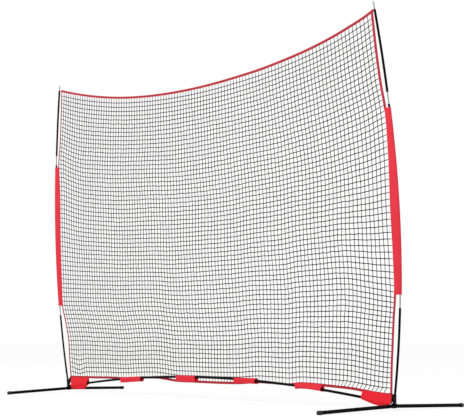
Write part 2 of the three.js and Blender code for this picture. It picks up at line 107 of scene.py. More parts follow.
class Paint:
    """The node tree of one material or of the world."""

    def __init__(self, owner):
        owner.use_nodes = True
        self.tree = owner.node_tree
        self.tree.nodes.clear()

    def node(self, kind, settings=None, inputs=None):
        """Any node, with its settings and inputs. Gives its outputs by name and by number."""
        made = self.tree.nodes.new("ShaderNode" + kind)
        for name, value in (settings or {}).items():
            setattr(made, name, value)
        for name, value in (inputs or {}).items():
            if isinstance(value, Value):
                self.tree.links.new(value.socket, made.inputs[name])
            else:
                made.inputs[name].default_value = value
        return {key: Value(self, socket) for number, socket in enumerate(made.outputs)
                for key in (number, socket.name)}

    def noise(self, place, scale, detail):
        return self.node("TexNoise", None, {
            "Vector": place, "Scale": scale, "Detail": detail,
        })["Fac"]

    def blend(self, share, first, second):
        """A colour between two display colours."""
        inputs = {0: share, 6: linear(*first), 7: linear(*second)}
        return self.node("Mix", {"data_type": "RGBA"}, inputs)[2]

    def bump(self, strength, distance, height):
        return self.node("Bump", None, {
            "Strength": strength, "Distance": distance, "Height": height,
        })["Normal"]


world = bpy.data.worlds.new("white_sky")
bpy.context.scene.world = world
sky = Paint(world)
ray = sky.node("LightPath")
seen = sky.node("Math", {"operation": "MAXIMUM"}, {
    0: ray["Is Camera Ray"],
    1: ray["Is Glossy Ray"] + ray["Is Transmission Ray"],
})["Value"]
sky_shade = sky.node("Background", None, {
    "Color": white,
    "Strength": sky_light + (1.0 - sky_light) * seen,
})
sky.node("OutputWorld", None, {"Surface": sky_shade["Background"]})

floor_mesh = bpy.data.meshes.new("floor")
floor_corners = [(-1, -1), (1, -1), (1, 1), (-1, 1)]
floor_points = [(x * floor_half, y * floor_half, 0.0) for x, y in floor_corners]
floor_mesh.from_pydata(floor_points, [], [(0, 1, 2, 3)])
floor = bpy.data.objects.new("floor", floor_mesh)
bpy.context.scene.collection.objects.link(floor)
floor_material = bpy.data.materials.new("white_board")
floor_paint = Paint(floor_material)
board = floor_paint.node("BsdfDiffuse", None, {"Color": board_colour})
glow = floor_paint.node("Emission", None, {"Color": white, "Strength": board_glow})
glow_seen = floor_paint.node("LightPath")["Is Camera Ray"] * board_glow_share
lit_board = floor_paint.node("MixShader", None, {
    0: glow_seen, 1: board["BSDF"], 2: glow["Emission"],
})
floor_paint.node("OutputMaterial", None, {"Surface": lit_board["Shader"]})
floor_mesh.materials.append(floor_material)


def soft_box(name, place, target, size, power):
    lamp = bpy.data.lights.new(name, "AREA")
    lamp.shape = "SQUARE"
    lamp.size = size
    lamp.energy = power
    holder = bpy.data.objects.new(name, lamp)
    holder.location = place
    holder.rotation_mode = "QUATERNION"
    holder.rotation_quaternion = (Vector(target) - Vector(place)).to_track_quat("-Z", "Y")
    bpy.context.scene.collection.objects.link(holder)


soft_box("key_lamp", (3.0, -6.5, 5.5), (0.3, 0.0, 1.3), 3.5, 190.0)
soft_box("fill_lamp", (-6.0, -4.0, 4.0), (0.0, 0.0, 1.2), 3.0, 70.0)

# ---- Feet ----
# Each foot is a tube in two halves that push onto the spigots of a welded hub. The tubes are
# drawn steel with a black powder coat, and a moulded rubber cap closes each outer end.

both_sides = {"left": -1, "right": 1}
upwards, sideways = Vector((0, 0, 1)), Vector((0, 1, 0))
ring_step, nudge = 0.02, 0.0005
round_sides, fine_sides = 28, 40
bead_sides, bead_swell, bead_wave, bead_upward = 8, 0.12, 2.1, Vector((0.3, 0.2, 0.93))
leg_radius, leg_bore = 0.0125, 0.011
leg_start, leg_end, leg_reach = 0.0503, 0.6875, 0.690
boss_radius, boss_top, boss_bottom, boss_rim = 0.018, 0.0452, 0.019, 0.001
hub_height, hub_half_length = 0.032, 0.050
arm_start, arm_rim = 0.008, 0.0008
spigot_radius, spigot_bore, spigot_reach = 0.0107, 0.0092, 0.110
spigot_lead, spigot_taper = 0.003, 0.0012
pin_hole = 0.0043
weld_points, weld_radius = 44, 0.0017
cap_radius, cap_depth, cap_rim = 0.015, 0.028, 0.0009
cap_clearance, cap_dimple, dimple_depth = 0.0003, 0.004, 0.0006
cap_groove, cap_groove_width, cap_groove_slope, cap_groove_depth = 0.004, 0.0028, 0.0006, 0.0007
cap_dome = [(0.0040, 0.0), (0.0016, 0.0011), (0.0004, 0.0034), (0.0, 0.006)]
joints = {joint["name"]: joint for joint in frame["joints"]}


def lofted(rows, wrap=True, closed=False):
    """A skin through rows of points. Wrap joins each row's ends, closed joins the last row on."""
    rows = np.asarray(rows, float)
    count, width = rows.shape[:2]
    first = np.arange(count if closed else count - 1)[:, None]
    across = np.arange(width if wrap else width - 1)[None, :]
    after = (first + 1) % count
    beside = (across + 1) % width
    faces = np.stack([
        first * width + across,
        first * width + beside,
        after * width + beside,
        after * width + across,
    ], axis=-1).reshape(-1, 4)
    return rows.reshape(-1, 3), faces


def ring(centre, along, radius, count, upward):
    """Points on a circle round a line that runs along that direction."""
    across = along.cross(upward).normalized()
    up = across.cross(along).normalized()
    angles = np.arange(count) * 2 * math.pi / count
    spread = np.outer(np.cos(angles), across) + np.outer(np.sin(angles), up)
    return np.array(centre) + spread * radius


def turned(line, profile, count=round_sides, upward=upwards):
    """A round shape: each (distance, radius) of the profile is a ring about the line there."""
    stations = [profile[0]]
    for first, second in zip(profile, profile[1:]):
        pieces = max(1, math.ceil(abs(second[0] - first[0]) / ring_step))
        stations += np.linspace(first, second, pieces + 1)[1:].tolist()
    closed = profile[0] == profile[-1]
    if closed:
        stations = stations[:-1]
    rows = []
    for distance, radius in stations:
        along = (line(distance + nudge) - line(distance - nudge)).normalized()
        rows.append(ring(line(distance), along, radius, count, upward))
    return lofted(rows, closed=closed)


def barrel(start, end, radius, rim):
    """The outside of a round length, softened at both ends."""
    return [(start, radius - rim), (start + rim, radius), (end - rim, radius), (end, radius - rim)]


def tube_profile(start, end, outer, inner, rim=0.0006):
    """A hollow tube with softened rims."""
    outside = barrel(start, end, outer, rim)
    return outside + barrel(end, start, inner, -rim) + outside[:1]


def groove(start, width, slope, radius, depth):
    """A shallow groove round a round length."""
    return [
        (start, radius), (start + slope, radius - depth),
        (start + width - slope, radius - depth), (start + width, radius),
    ]


def bead(points, radius):
    """A weld bead round a closed line of points."""
    points = np.asarray(points, float)
    count = len(points)
    rows = []
    for i in range(count):
        along = Vector(points[(i + 1) % count] - points[i - 1]).normalized()
        swell = 1 + bead_swell * math.sin(i * bead_wave)
        rows.append(ring(points[i], along, radius * swell, bead_sides, bead_upward))
    return lofted(rows, closed=True)


def assemble(name, node, shells, materials, body="frame", crease=35.0, weld=True):
    """One object from several shells, in the place of its CAD node and riding its body.

    A shell may name, as its third item, which of the materials it wears.
    """
    mesh = bpy.data.meshes.new(name)
    points, faces, wears, offset = [], [], [], 0
    for shell in shells:
        points.append(shell[0])
        faces += (np.asarray(shell[1]) + offset).tolist()
        wears += [shell[2] if len(shell) > 2 else 0] * len(shell[1])
        offset += len(shell[0])
    mesh.from_pydata(np.concatenate(points).tolist(), [], faces)
    mesh.polygons.foreach_set("material_index", wears)
    tidy = bmesh.new()
    tidy.from_mesh(mesh)
    if weld:
        bmesh.ops.remove_doubles(tidy, verts=tidy.verts, dist=1e-6)
    bmesh.ops.recalc_face_normals(tidy, faces=tidy.faces)
    tidy.to_mesh(mesh)
    tidy.free()
    mesh.shade_smooth()
    mesh.set_sharp_from_angle(angle=math.radians(crease))
    for material in materials:
        mesh.materials.append(material)
    made = bpy.data.objects.new(name, mesh)
    bpy.context.scene.collection.objects.link(made)
    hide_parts(node)
    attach(made, body)
    return made


def turned_piece(name, node, line, profile, material, body="frame", upward=upwards):
    """A piece that is one round shape of one material."""
    assemble(name, node, [turned(line, profile, upward=upward)], [material], body)


def surface(name, finish, *choices):
    """A material: the finish gives the shader's inputs, worked out from places on the object."""
    material = bpy.data.materials.new(name)
    paint = Paint(material)
    inputs = finish(paint, paint.node("TexCoord")["Object"], *choices)
    shader = paint.node("BsdfPrincipled", None, inputs)
    paint.node("OutputMaterial", None, {"Surface": shader["BSDF"]})
    return material


def powder_coat(paint, place, shade):
    """Black powder coat: a fine orange peel, dust in broad patches and small dull rubs."""
    dust = paint.noise(place, 9.0, 4.0)
    rubs = paint.node("MapRange", None, {
        "Value": paint.noise(place, 55.0, 6.0), "From Min": 0.62, "From Max": 0.72,
    })["Result"]
    peel = paint.noise(place, 1400.0, 1.0)
    pale = shade + 6
    return {
        "Base Color": paint.blend(
            dust * 0.5 + rubs * 0.35, (shade, shade, shade + 1), (pale, pale, pale + 1)),
        "Roughness": 0.24 + dust * 0.12 + rubs * 0.14,
        "Specular IOR Level": 0.05,
        "Normal": paint.bump(0.12, 0.0004, peel),
    }


def moulded_rubber(paint, place):
    """Matt black rubber with a fine spark-eroded grain and scuffs."""
    grain = paint.noise(place, 1900.0, 2.0)
    scuff = paint.noise(place, 70.0, 5.0)
    return {
        "Base Color": paint.blend(scuff, (9, 9, 10), (34, 34, 35)),
        "Roughness": 0.5 + scuff * 0.2,
        "Normal": paint.bump(0.3, 0.0003, grain),
    }


def leg_line(side_name, ahead):
    """The middle of a leg: the way that it pulls off, from above the swivel."""
    swivel = joints[f"foot_swivel_{side_name}"]["pos_m"]
    way = Vector(joints[f"{ahead}_leg_pull_{side_name}"]["axis"]).normalized()
    start = Vector((swivel[0], swivel[1], hub_height))
    return lambda distance: start + way * distance


def upright_line(x):
    return lambda height: Vector((x, 0.0, height))


def saddle(line):
    """Where a leg's end meets the round boss: the line of the weld."""
    level = (line(1.0) - line(0.0)) * Vector((1.0, 1.0, 0.0))
    around = ring(Vector(), level, leg_radius, weld_points, upwards)
    reaches = np.sqrt(boss_radius ** 2 - (around[:, :2] ** 2).sum(axis=1))
    return around + np.array([line(reach) for reach in reaches])


black_steel = surface("black_powder_coat", powder_coat, 1)
weld_steel = surface("welded_powder_coat", powder_coat, 3)
black_rubber = surface("black_rubber", moulded_rubber)

for side_name in both_sides:
    swivel_x = joints[f"foot_swivel_{side_name}"]["pos_m"][0]
    shells = [turned(upright_line(swivel_x), [
        (boss_bottom, pin_hole), *barrel(boss_bottom, boss_top, boss_radius, boss_rim),
        (boss_top, pin_hole), (boss_bottom, pin_hole),
    ], fine_sides, sideways)]
    for ahead in ("front", "rear"):
        line = leg_line(side_name, ahead)
        body = f"{ahead}_leg_{side_name}"
        shells.append(turned(line, [
            (arm_start, 0.0), (arm_start, leg_radius), (hub_half_length - arm_rim, leg_radius),
            (hub_half_length, leg_radius - arm_rim), (hub_half_length, spigot_radius),
            (spigot_reach - spigot_lead, spigot_radius),
            (spigot_reach, spigot_radius - spigot_taper), (spigot_reach, spigot_bore),
            (hub_half_length, spigot_bore), (hub_half_length, 0.0),
        ]))
        shells.append(bead(saddle(line), weld_radius) + (1,))
        turned_piece(f"foot_tube_{ahead}_{side_name}", f"leg_{ahead}_{side_name}",
                     line, tube_profile(leg_start, leg_end, leg_radius, leg_bore), black_steel, body)
        mouth = leg_end - cap_depth
        cap_points, cap_faces = turned(line, [
            (mouth, leg_radius + cap_clearance), (mouth, cap_radius - cap_rim),
            (mouth + cap_rim, cap_radius),
            *groove(mouth + cap_groove, cap_groove_width, cap_groove_slope, cap_radius,
                    cap_groove_depth),
            *[(leg_reach - back, cap_radius - down) for back, down in cap_dome],
            (leg_reach, cap_dimple), (leg_reach - dimple_depth, cap_dimple - dimple_depth),
            (leg_reach - dimple_depth, 0.0),
        ], fine_sides)
        cap_points[:, 2] = np.maximum(cap_points[:, 2], 0.0)
        assemble(f"foot_cap_{ahead}_{side_name}", f"end_cap_{ahead}_{side_name}",
                 [(cap_points, cap_faces)], [black_rubber], body)
    assemble(f"welded_hub_{side_name}", f"foot_hub_{side_name}", shells,
             [black_steel, weld_steel], f"foot_{side_name}")

# ---- Swivel pins and corner brackets ----
# A headed steel pin holds each bracket on its hub. The bracket is a round plate with an arm, on
# which the collar for the post and the socket for the ground pole are welded.

plate_bottom, plate_top = 0.0455, 0.0495
plate_radius, plate_edge, plate_seat = 0.020, 0.0007, 0.0058
arm_reach, arm_middle, arm_half_width, arm_taper, arm_inset = 0.032, -0.0063, 0.0113, 0.1, 0.0002
collar_bore, collar_radius, collar_top, collar_foot, collar_sides = 0.0083, 0.0105, 0.105, 0.002, 36
collar_sunk, collar_weld_points, collar_weld_radius, collar_weld_lift = 0.001, 40, 0.0016, 0.0004
rim_radius, rim_height, rim_edge, rim_slope, rim_round = 0.0125, 0.008, 0.0012, 0.003, 0.001
mouth_edge = 0.0004
socket_bore, socket_radius = 0.0098, 0.012
socket_out, socket_in = 1.815, 1.755
head_radius, head_height, head_edge, shank_radius, pin_play = 0.0055, 0.003, 0.0012, 0.004, 0.0003


def points_of(node):
    return np.array([vertex.co for vertex in frame["nodes"][node].data.vertices], float)


net_points = points_of("net")
lean_slope, plane_start = np.polyfit(net_points[:, 2], net_points[:, 1], 1)
lean = math.atan(-lean_slope)
lean_cos, lean_sin = math.cos(lean), math.sin(lean)


def placed(x, height, depth):
    """Places in the leaning plane of the posts and the net, given by their height along it."""
    x, height, depth = np.broadcast_arrays(x, height, depth)
    forward = plane_start + depth * lean_cos - height * lean_sin
    return np.stack([x, forward, depth * lean_sin + height * lean_cos], axis=-1)


def plane_places(names):
    """The other way round: x, height and depth of the points of some CAD nodes."""
    points = np.concatenate([points_of(name) for name in names])
    forward = points[:, 1] - plane_start
    height = points[:, 2] * lean_cos - forward * lean_sin
    depth = points[:, 2] * lean_sin + forward * lean_cos
    return points[:, 0], height, depth


def fitted(names, from_axis, to_axis):
    """The smooth line that several round CAD pieces run along."""
    places = plane_places(names)
    return np.poly1d(np.polyfit(places[from_axis], places[to_axis], 4))


def line_up(curve):
    return lambda height: Vector(placed(curve(height), height, 0.0))


post_parts = ["post_tube", "rod_lower", "rod_middle", "rod_top"]
post_x = {
    side_name: fitted([f"{part}_{side_name}" for part in post_parts], 1, 0)
    for side_name in both_sides
}
post_line = {side_name: line_up(curve) for side_name, curve in post_x.items()}
pole_height = fitted([f"ground_pole_{i}" for i in range(1, 5)], 0, 1)
pole_depth = float(np.mean(plane_places(["ground_pole_2"])[2]))


def pole_line(x):
    return Vector(placed(x, pole_height(x), pole_depth))


def arm_section(x, width):
    """The outline of the flat arm at an x: a slab with bevelled edges."""
    left, right = arm_middle - width, arm_middle + width
    bottom, top, edge = plate_bottom + arm_inset, plate_top - arm_inset, plate_edge
    return [
        (x, left, bottom + edge), (x, left + edge, bottom), (x, right - edge, bottom),
        (x, right, bottom + edge), (x, right, top - edge), (x, right - edge, top),
        (x, left + edge, top), (x, left, top - edge),
    ]


for side_name, side in both_sides.items():
    swivel_x = joints[f"foot_swivel_{side_name}"]["pos_m"][0]
    plate = turned(upright_line(swivel_x), [
        (plate_bottom, pin_hole), *barrel(plate_bottom, plate_top, plate_radius, plate_edge),
        (plate_top, plate_seat), (plate_bottom, pin_hole),
    ], fine_sides, sideways)
    collar_low, rim_low = plate_top - collar_sunk, collar_top - rim_height
    collar = turned(post_line[side_name], [
        (collar_low, collar_radius), (rim_low - rim_slope, collar_radius),
        (rim_low, rim_radius - rim_edge / 2), (rim_low + rim_round, rim_radius),
        (collar_top - rim_edge, rim_radius), (collar_top, rim_radius - rim_edge),
        (collar_top, collar_bore + mouth_edge), (collar_top - mouth_edge, collar_bore),
        (collar_low, collar_bore), (collar_low, collar_radius),
    ], collar_sides, sideways)
    socket = turned(pole_line, [
        (side * x, radius)
        for x, radius in tube_profile(socket_in, socket_out, socket_radius, socket_bore)
    ])
    arm = lofted([
        arm_section(swivel_x - side * arm_reach * share, arm_half_width * (1.0 - arm_taper * share))
        for share in np.linspace(0.0, 1.0, 6)
    ])
    centre = post_line[side_name](plate_top + collar_foot)
    centre.z = plate_top + collar_weld_lift
    foot_weld = ring(centre, -upwards, collar_radius, collar_weld_points, sideways)
    assemble(f"corner_plate_{side_name}", f"corner_bracket_{side_name}", [
        plate, collar, socket, arm, bead(foot_weld, collar_weld_radius) + (1,),
    ], [black_steel, weld_steel])

    low, high = boss_bottom - pin_play, plate_top + pin_play
    pin_profile = [
        (low - head_height, 0.0), (low - head_height, head_radius - head_edge),
        (low - head_height + head_edge, head_radius), (low, head_radius), (low, shank_radius),
        (high, shank_radius), (high, head_radius), (high + head_height - head_edge, head_radius),
        (high + head_height, head_radius - head_edge), (high + head_height, 0.0),
    ]
    turned_piece(f"headed_pin_{side_name}", f"swivel_pin_{side_name}",
                 upright_line(swivel_x), pin_profile, weld_steel, upward=sideways)

# ---- Posts ----
# Each post is a steel tube, then three pultruded fibreglass rods. A ferrule joins rod to rod, and
# a black plastic cover tube stiffens the middle of each rod. The bow comes from bending it all.

section, joint_gap = 0.686, 0.0003
rod_radius, rod_bore, rod_rim, rod_tip = 0.005, 0.0053, 0.001, 2.790
tube_radius, tube_bore, tube_low = 0.008, 0.0068, 0.0515
bush_radius, bush_low = 0.0065, 0.626
cover_radius, cover_low, cover_rim = 0.0085, 0.090, 0.0009
cover_length = {"lower": 0.536, "middle": 0.536, "top": 0.592}
cover_worn = {"left": 0.0, "right": 0.011}
ferrule_radius, ferrule_rim, ferrule_length, ferrule_above = 0.008, 0.0006, 0.050, 0.005
groove_place, groove_width, groove_slope, groove_depth = 0.009, 0.004, 0.001, 0.0008


def cover_plastic(paint, place):
    """Extruded black plastic: smooth, with faint drawn lines along it."""
    stretch = paint.node("Mapping", None, {"Vector": place, "Scale": (900.0, 900.0, 6.0)})
    drawn = paint.noise(stretch["Vector"], 1.0, 2.0)
    haze = paint.noise(place, 14.0, 3.0)
    return {
        "Base Color": paint.blend(haze, (1, 1, 2), (6, 6, 7)),
        "Roughness": 0.34 + haze * 0.12,
        "Specular IOR Level": 0.05,
        "Normal": paint.bump(0.1, 0.0002, drawn),
    }


def fibreglass(paint, place):
    """Pultruded grey rod: long glass strands under a clear skin of resin."""
    stretch = paint.node("Mapping", None, {"Vector": place, "Scale": (1500.0, 1500.0, 9.0)})
    strands = paint.noise(stretch["Vector"], 1.0, 3.0)
    return {
        "Base Color": paint.blend(strands, (128, 132, 135), (186, 190, 192)),
        "Roughness": 0.3 + strands * 0.15,
        "Coat Weight": 0.25,
        "Normal": paint.bump(0.15, 0.0002, strands),
    }


black_plastic = surface("black_cover_tube", cover_plastic)
grey_fibreglass = surface("grey_fibreglass", fibreglass)

for side_name in both_sides:
    line = post_line[side_name]

    def post_piece(name, node, profile, material):
        """One piece of this post: a round shape about its bowed line."""
        turned_piece(f"{name}_{side_name}", f"{node}_{side_name}", line, profile, material,
                     upward=sideways)

    post_piece("steel_upright", "post_tube",
               tube_profile(tube_low, section, tube_radius, tube_bore), black_steel)
    post_piece("steel_bush", "rod_bush",
               tube_profile(bush_low, section - joint_gap, bush_radius, rod_bore), black_steel)
    rods = {
        "lower": (bush_low, 2 * section),
        "middle": (2 * section + joint_gap, 3 * section),
        "top": (3 * section + joint_gap, rod_tip),
    }
    for index, (rod_name, (low, high)) in enumerate(rods.items(), start=1):
        post_piece(f"glass_rod_{rod_name}", f"rod_{rod_name}",
                   [(low, 0.0), *barrel(low, high, rod_radius, rod_rim), (high, 0.0)],
                   grey_fibreglass)
        low = index * section + cover_low
        high = low + cover_length[rod_name] - (cover_worn[side_name] if rod_name == "top" else 0.0)
        post_piece(f"cover_tube_{rod_name}", f"rod_cover_{rod_name}",
                   tube_profile(low, high, cover_radius, rod_bore, cover_rim), black_plastic)
    for ferrule_name, rod_joint in (("middle", 2 * section), ("top", 3 * section)):
        high = rod_joint + ferrule_above
        low = high - ferrule_length
        grooves = [
            point for start in (low + groove_place, high - groove_place - groove_width)
            for point in groove(start, groove_width, groove_slope, ferrule_radius, groove_depth)
        ]
        outside = barrel(low, high, ferrule_radius, ferrule_rim)
        post_piece(f"steel_ferrule_{ferrule_name}", f"ferrule_{ferrule_name}", [
            (low, rod_bore), *outside[:2], *grooves, *outside[2:], (high, rod_bore),
            (low, rod_bore),
        ], black_steel)

# ---- Ground pole ----
# Four lengths of black steel tube on inner spigots, sprung upward between the two corners. It
# keeps the feet apart and the bottom of the net tight.

pole_radius, pole_bore, pole_rim, pole_gap = 0.0095, 0.0083, 0.0008, 0.00015
inner_radius, inner_bore, inner_half = 0.008, 0.0068, 0.050
pole_ends = np.linspace(-1.8147, 1.8147, 5)

for i, (low, high) in enumerate(zip(pole_ends, pole_ends[1:]), start=1):
    profile = tube_profile(low + pole_gap, high - pole_gap, pole_radius, pole_bore, pole_rim)
    turned_piece(f"pole_section_{i}", f"ground_pole_{i}", pole_line, profile,
                 black_steel)
for i, middle in enumerate(pole_ends[1:-1], start=1):
    profile = tube_profile(middle - inner_half, middle + inner_half, inner_radius, inner_bore)
    turned_piece(f"pole_spigot_{i}", f"ground_spigot_{i}", pole_line, profile,
                 weld_steel)

# ---- Net ----
# Square-mesh netting of black knotted twine, 105 meshes wide and 65 high. It is pulled square by
# its bound edges, so the meshes grow toward the corners and the strands run a little uneven.

meshes_wide, meshes_high = 105, 65
twine_radius, knot_radius = 0.0031, 0.0062
strand_run_on = 0.006
net_seed = 11
net_low, net_high, net_half = 0.138, 2.740, 1.829
sleeve_low, sleeve_high = 0.775, 2.041
top_dip = 0.254
top_tape, bottom_tape = 0.0185, 0.019
side_tape = {
    "left": {"lower": 0.011, "upper": 0.009},
    "right": {"lower": 0.016, "upper": 0.019},
}
foot_reach = {"left": 1.808, "right": 1.834}
corner_reach = {"left": 1.815, "right": 1.832}
foot_drop = {"left": 0.003, "right": 0.031}
foot_drop_start, foot_drop_run = 1.42, 0.40

# How far the edge of the net stands in from its post at several heights. The sleeve holds it
# near, and above and below the sleeve it hangs free between the sleeve and a corner.
edge_gap = {
    "left": [
        (0.12, 0.052), (0.30, 0.068), (0.47, 0.084), (0.62, 0.066), (0.775, 0.034), (1.00, 0.040),
        (1.40, 0.047), (1.80, 0.047), (2.041, 0.030), (2.25, 0.044), (2.50, 0.043), (2.74, 0.033),
    ],
    "right": [
        (0.12, 0.024), (0.25, 0.036), (0.45, 0.043), (0.60, 0.043), (0.775, 0.035), (1.00, 0.042),
        (1.35, 0.051), (1.75, 0.034), (2.041, 0.026), (2.22, 0.037), (2.45, 0.035), (2.74, 0.0165),
    ],
}

# How far the top and the bottom edge stand above their plain lines, from place to place.
top_swing = [
    (-1.83, 0.010), (-1.60, 0.006), (-1.40, 0.0025), (-1.20, 0.0), (0.0, 0.0), (0.30, -0.002),
    (0.50, -0.005), (0.70, -0.011), (0.95, -0.0165), (1.20, -0.0225), (1.42, -0.0235),
    (1.60, -0.019), (1.76, -0.012), (1.83, -0.004),
]
foot_swing = [
    (-1.83, 0.0), (-1.42, 0.001), (-1.25, 0.004), (-1.06, 0.004), (-0.80, 0.016), (-0.70, 0.019),
    (-0.60, 0.020), (-0.50, 0.014), (-0.40, 0.004), (-0.15, 0.001), (0.20, 0.001), (0.36, 0.004),
    (0.58, 0.018), (0.70, 0.016), (0.80, 0.012), (0.90, 0.009), (0.99, 0.019), (1.10, 0.019),
    (1.22, 0.014), (1.35, 0.007), (1.50, 0.001), (1.83, 0.0),
]

# How the meshes give: the knots wander a little, the rows droop toward the lower right edge and
# rise toward the upper left one, the lowest row is tugged along the right pocket, and a fold of
# the left pocket nips the lowest rows.
slack_across, slack_up, belly_depth, flutter_depth = 0.0045, 0.005, 0.006, 0.0025
give_across, give_up = 12, 10
knot_scatter, depth_scatter, knot_spread = 0.0014, 0.0008, (0.85, 1.15)
droop_by_level = [
    (0, 0), (0.03, 0.011), (0.06, 0.022), (0.10, 0.040), (0.15, 0.036), (0.20, 0.042),
    (0.25, 0.060), (0.29, 0.069), (0.33, 0.062), (0.38, 0.050), (0.45, 0.034), (0.60, 0), (1, 0),
]
droop_start, droop_run, droop_bend = 1.38, 0.44, 1.6
lift_by_level = [(0, 0), (0.4, 0), (0.55, 0.030), (0.8, 0.040), (0.95, 0.014), (1, 0)]
lift_start, lift_run, lift_bend = -1.50, 0.32, 1.8
tug_start, tug_end, tug_reach = 1.33, 1.83, 0.027
nip_middle, nip_half_width, nip_drop, nip_rows = -1.675, 0.10, 0.036, 7

plane_forward = np.array([0.0, lean_cos, lean_sin])


def unit(vectors):
    return vectors / np.linalg.norm(vectors, axis=-1, keepdims=True)


def ramp(values):
    """Values held between 0 and 1."""
    return np.clip(values, 0, 1)


def eased(share):
    """From 0 to 1 with a soft start and a soft end."""
    return share * share * (3 - 2 * share)


def smooth_through(knots, places):
    """A smooth line through a few (place, value) pairs."""
    knot_places, values = np.array(knots).T
    slopes = np.gradient(values, knot_places)
    places = np.clip(places, knot_places[0], knot_places[-1])
    low = np.clip(np.searchsorted(knot_places, places, side="right") - 1, 0, len(knots) - 2)
    span = knot_places[low + 1] - knot_places[low]
    share = (places - knot_places[low]) / span
    leave = share * (1 - share) ** 2 * span * slopes[low]
    arrive = share * share * (1 - share) * span * slopes[low + 1]
    return values[low] + (values[low + 1] - values[low]) * eased(share) + leave - arrive


def net_edge(side_name, height):
    """How far out the net reaches at a height."""
    return np.abs(post_x[side_name](height)) - smooth_through(edge_gap[side_name], height)


def net_top(x):
    plain = net_high - top_dip * (1 - (x / net_half) ** 2)
    return plain + smooth_through(top_swing, x)


def net_bottom(x):
    """The middle of the bottom binding, which a pocket pulls down at its corner."""
    share = ramp((np.abs(x) - foot_drop_start) / foot_drop_run)
    drop = np.where(np.asarray(x) > 0, foot_drop["right"], foot_drop["left"])
    return net_low - drop * eased(share) + smooth_through(foot_swing, x)


def net_place(across, up):
    """A place on the netting, from 0 to 1 across and from 0 to 1 upward."""
    low = net_low + bottom_tape / 2
    high = net_top(corner_reach["right"]) - top_tape
    side_height = low + (high - low) * up
    left = -(net_edge("left", side_height) - min(side_tape["left"].values()))
    right = net_edge("right", side_height) - min(side_tape["right"].values())
    x = left + (right - left) * across
    bottom = net_bottom(x) + bottom_tape / 2
    return x, bottom + (net_top(x) - top_tape - bottom) * up


def net_knots(chance):
    """Where the knots stand, as an array of points across and up the net."""
    across, up = np.meshgrid(
        np.arange(meshes_wide + 1) / meshes_wide, np.arange(meshes_high + 1) / meshes_high,
        indexing="ij",
    )
    row = up * meshes_high
    x, height = net_place(across, up)
    inside = ramp(np.minimum(across, 1 - across) * give_across)
    inside *= ramp(np.minimum(up, 1 - up) * give_up)
    slack_x = slack_across * np.sin(7.3 * height + 2.1 * x) * np.sin(2.9 * x - 1.7 * height)
    slack_height = slack_up * np.sin(3.1 * x + 1.3) * np.cos(5.7 * height + 1.9 * x)
    belly = belly_depth * np.sin(math.pi * across) * np.sin(math.pi * up)
    flutter = flutter_depth * np.sin(9.1 * x + 4.0 * height) * np.sin(6.3 * height)
    tug = ramp((x - tug_start) / 0.10) * ramp((tug_end - x) / 0.05) * ramp(1 - row)
    droop = np.clip((x - droop_start) / droop_run, 0, 1.25) ** droop_bend
    droop *= smooth_through(droop_by_level, up)
    lift = ramp((lift_start - x) / lift_run) ** lift_bend * smooth_through(lift_by_level, up)
    nip = ramp(1 - abs(x - nip_middle) / nip_half_width) * ramp(1 - row / nip_rows)
    nip *= ramp(row / 1.5)
    x = x + inside * (slack_x + chance.normal(0, knot_scatter, x.shape)) - tug_reach * tug
    height = height + inside * (slack_height + chance.normal(0, knot_scatter, x.shape))
    height += lift - droop - nip_drop * nip
    depth = inside * (flutter - belly + chance.normal(0, depth_scatter, x.shape))
    return placed(x, height, depth)


def strand(points):
    """A four-sided strand through its knots, run on into the bindings and pointed there."""
    first = points[0] - unit(points[1] - points[0]) * strand_run_on
    last = points[-1] + unit(points[-1] - points[-2]) * strand_run_on
    points = np.concatenate([[first], points, [last]])
    beside = unit(np.cross(unit(np.gradient(points, axis=0)), plane_forward))
    swell = np.full((len(points), 1, 1), twine_radius)
    swell[[0, -1]] = 0.0
    swell[[1, -2]] *= 0.75
    corners = np.stack([beside, np.broadcast_to(plane_forward, beside.shape)], axis=1)
    corners = np.concatenate([corners, -corners], axis=1)
    return lofted(points[:, None, :] + corners * swell)


def lumps(centres, firsts, seconds, thirds):
    """Eight-sided lumps: each has a centre and three half axes."""
    tips = np.stack([-thirds, firsts, seconds, -firsts, -seconds, thirds], axis=1)
    faces = np.array([
        (0, 2, 1), (0, 3, 2), (0, 4, 3), (0, 1, 4), (5, 1, 2), (5, 2, 3), (5, 3, 4), (5, 4, 1),
    ])
    all_faces = faces[None] + 6 * np.arange(len(centres))[:, None, None]
    return (centres[:, None] + tips).reshape(-1, 3), all_faces.reshape(-1, 3)


def twine(paint, place):
    """Braided black polyester twine, a little furred and sun-greyed in patches."""
    faded = paint.noise(place, 3.0, 3.0)
    braid = paint.noise(place, 900.0, 1.0)
    return {
        "Base Color": paint.blend(faded * 0.7 + braid * 0.3, (6, 6, 7), (20, 21, 23)),
        "Roughness": 0.75 + braid * 0.15,
        "Specular IOR Level": 0.2,
        "Normal": paint.bump(0.5, 0.0005, braid),
    }


chance = np.random.default_rng(net_seed)
knots = net_knots(chance)
shells = [strand(knots[i]) for i in range(1, meshes_wide)]
shells += [strand(knots[:, j]) for j in range(1, meshes_high)]
inner_knots = knots[1:-1, 1:-1].reshape(-1, 3)
turns = chance.uniform(0, math.pi, len(inner_knots))
sizes = knot_radius * chance.uniform(*knot_spread, (len(inner_knots), 3))
still = np.zeros(len(inner_knots))
shells.append(lumps(
    inner_knots,
    np.stack([np.cos(turns), still, np.sin(turns)], axis=-1) * sizes[:, :1],
    np.stack([still, still + 1, still], axis=-1) * sizes[:, 1:2],
    np.stack([-np.sin(turns), still, np.cos(turns)], axis=-1) * sizes[:, 2:],
))
netting = assemble("twine_netting", "net", shells, [surface("black_twine", twine)],
                   crease=180.0, weld=False)

# ---- Bindings ----
# Red polyester tape, folded over the cut edges of the netting and sewn through with a row of
# stitches on each face. The top tape is cut to a curve, and the side tapes run on into the sleeves.

